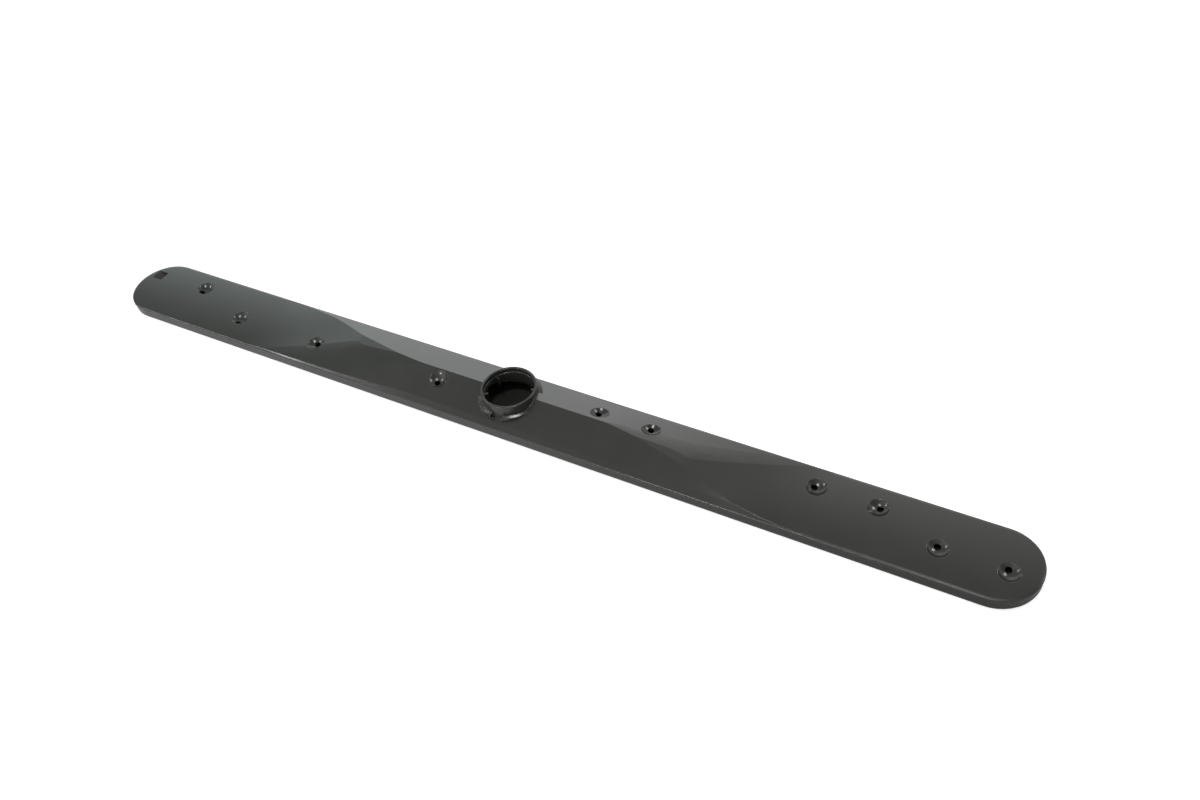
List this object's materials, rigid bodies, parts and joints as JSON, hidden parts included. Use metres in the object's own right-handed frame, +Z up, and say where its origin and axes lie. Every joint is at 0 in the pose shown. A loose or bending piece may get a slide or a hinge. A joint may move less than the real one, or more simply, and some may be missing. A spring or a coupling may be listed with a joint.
{
  "type": "dishwasher spray arm",
  "caption": "Long flat dishwasher spray arm with rounded tips, a raised middle that falls away in twisted flanks, bowl-shaped jets and an upright feed collar.",
  "frame": {"origin": "on the underside, below the feed collar's axis, which is the middle of the arm", "axes": "+X along the arm towards the tip without the outward jet, +Z up along the feed collar's axis, +Y across the arm"},
  "size_m": [0.48, 0.036, 0.0166],
  "materials": {
    "shell_plastic": "satin charcoal moulding"
  },
  "bodies": {
    "root": {"upper_shell": "shell_plastic", "lower_shell": "shell_plastic"}
  },
  "joints": []
}
